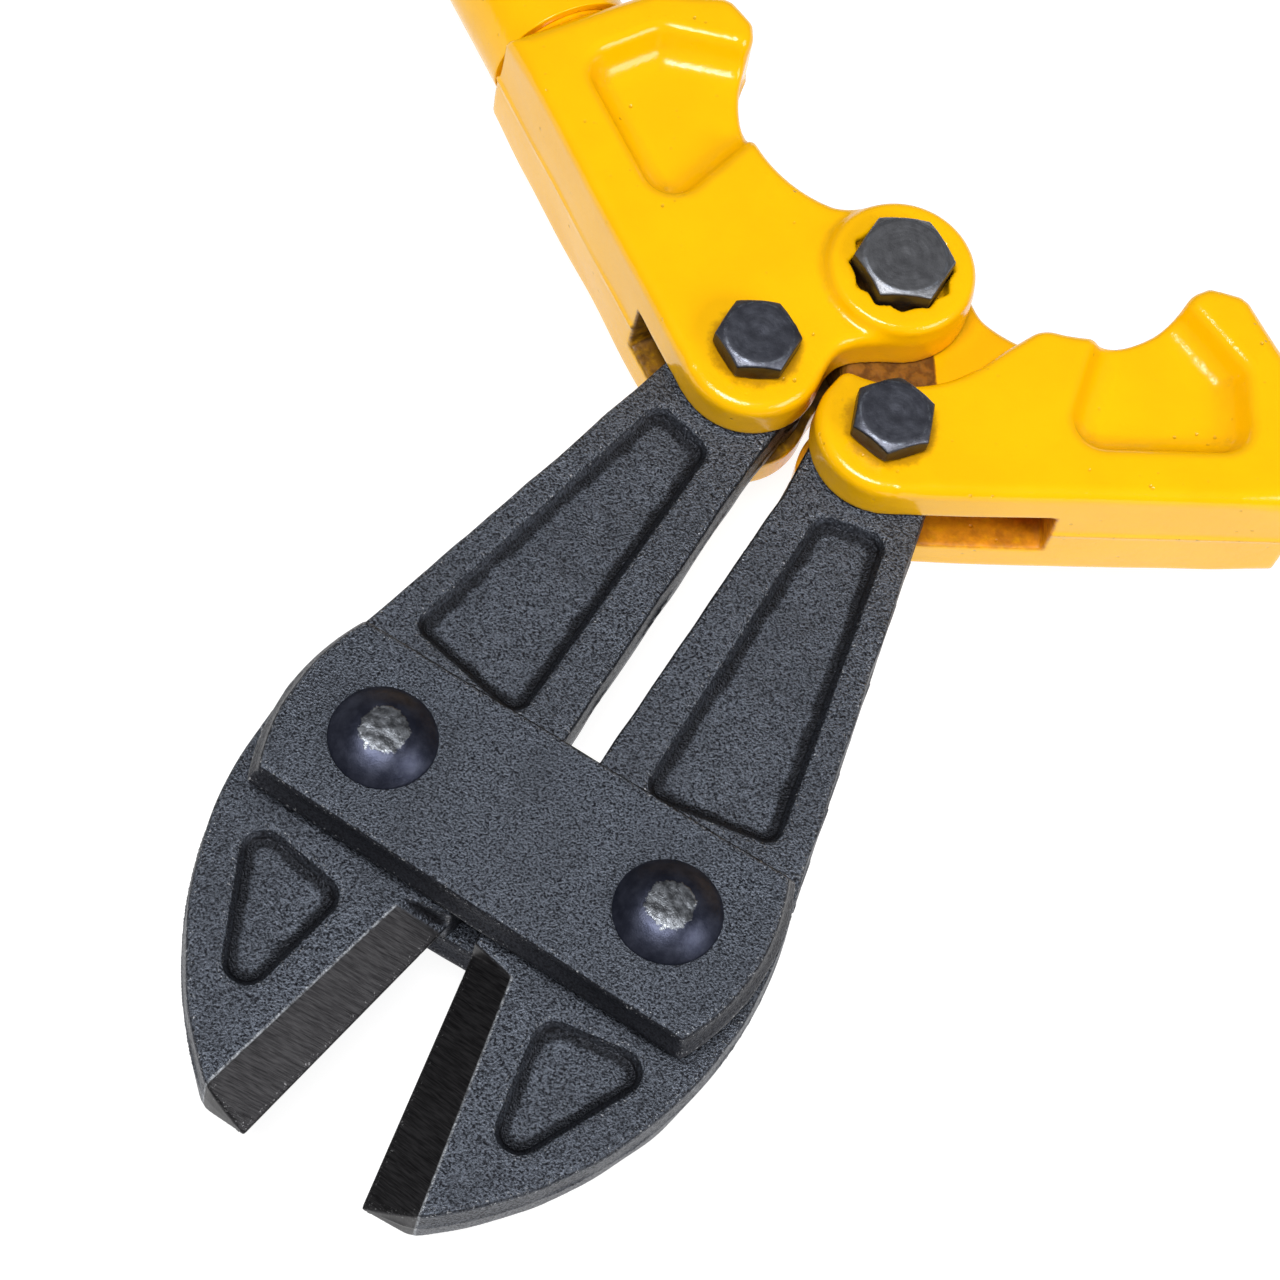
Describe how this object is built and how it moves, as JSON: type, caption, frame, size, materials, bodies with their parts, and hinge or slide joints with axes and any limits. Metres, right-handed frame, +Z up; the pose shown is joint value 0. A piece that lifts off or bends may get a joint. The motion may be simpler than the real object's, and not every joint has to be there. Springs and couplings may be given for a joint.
{
  "type": "bolt cutters",
  "caption": "Centre-cut bolt cutters with forged jaws between two riveted straps, cast handle heads, steel tube handles and rubber grips.",
  "frame": {"origin": "under the middle of the open tool's box, on the plane that the main bolt's lower end rests on; it is 1.2 mm from the main pivot's axis", "axes": "+Y from the jaw tips towards the handles along the tool, +X across it, +Z up through the pivots towards the bolt heads"},
  "size_m": [0.5672, 0.3182, 0.0421],
  "materials": {
    "yellow_casting": "glossy yellow enamel on a cast surface",
    "yellow_tube": "glossy yellow enamel on steel tube",
    "forged_jaw": "fine-grained black coating on a forging, blades ground bare",
    "forged_strap": "fine-grained black coating on a forging",
    "rivet_steel": "blue-black rivet with a worn bright flat",
    "bolt_steel": "blackened steel fasteners",
    "grip_rubber": "matt black ribbed rubber"
  },
  "bodies": {
    "left_handle": {"left_handle_head": "yellow_casting", "left_tube": "yellow_tube", "left_grip": "grip_rubber", "left_jaw_bolt": "bolt_steel", "left_jaw_washer": "bolt_steel", "left_jaw_nut": "bolt_steel", "main_bolt": "bolt_steel", "main_washer": "bolt_steel", "main_lock_washer": "bolt_steel", "main_nut": "bolt_steel"},
    "right_handle": {"right_handle_head": "yellow_casting", "right_tube": "yellow_tube", "right_grip": "grip_rubber", "right_jaw_bolt": "bolt_steel", "right_jaw_washer": "bolt_steel", "right_jaw_nut": "bolt_steel"},
    "left_jaw": {"left_jaw": "forged_jaw"},
    "right_jaw": {"right_jaw": "forged_jaw"},
    "straps": {"top_strap": "forged_strap", "bottom_strap": "forged_strap", "left_rivet": "rivet_steel", "right_rivet": "rivet_steel"}
  },
  "joints": [
    {"name": "handle_pivot", "type": "hinge", "parent": "left_handle", "child": "right_handle", "pos_m": [0, -0.00116, 0.0245], "axis": [0, 0, 1], "range_deg": [0, 108.47]},
    {"name": "left_jaw_pivot", "type": "hinge", "parent": "left_handle", "child": "left_jaw", "pos_m": [-0.0112, -0.02418, 0.0245], "axis": [0, 0, 1], "range_deg": [0, 64.05]},
    {"name": "right_jaw_pivot", "type": "hinge", "parent": "right_handle", "child": "right_jaw", "pos_m": [0.0112, -0.02418, 0.0245], "axis": [0, 0, 1], "range_deg": [-64.05, 0]},
    {"name": "strap_pivot", "type": "hinge", "parent": "left_jaw", "child": "straps", "pos_m": [-0.0225, -0.1056, 0.0245], "axis": [0, 0, 1], "range_deg": [-9.81, 0]}
  ],
  "couplings": [
    {"joint": "left_jaw_pivot", "follows": "handle_pivot", "ratio": 0.59036},
    {"joint": "right_jaw_pivot", "follows": "handle_pivot", "ratio": -0.59036},
    {"joint": "strap_pivot", "follows": "handle_pivot", "ratio": -0.090348}
  ]
}
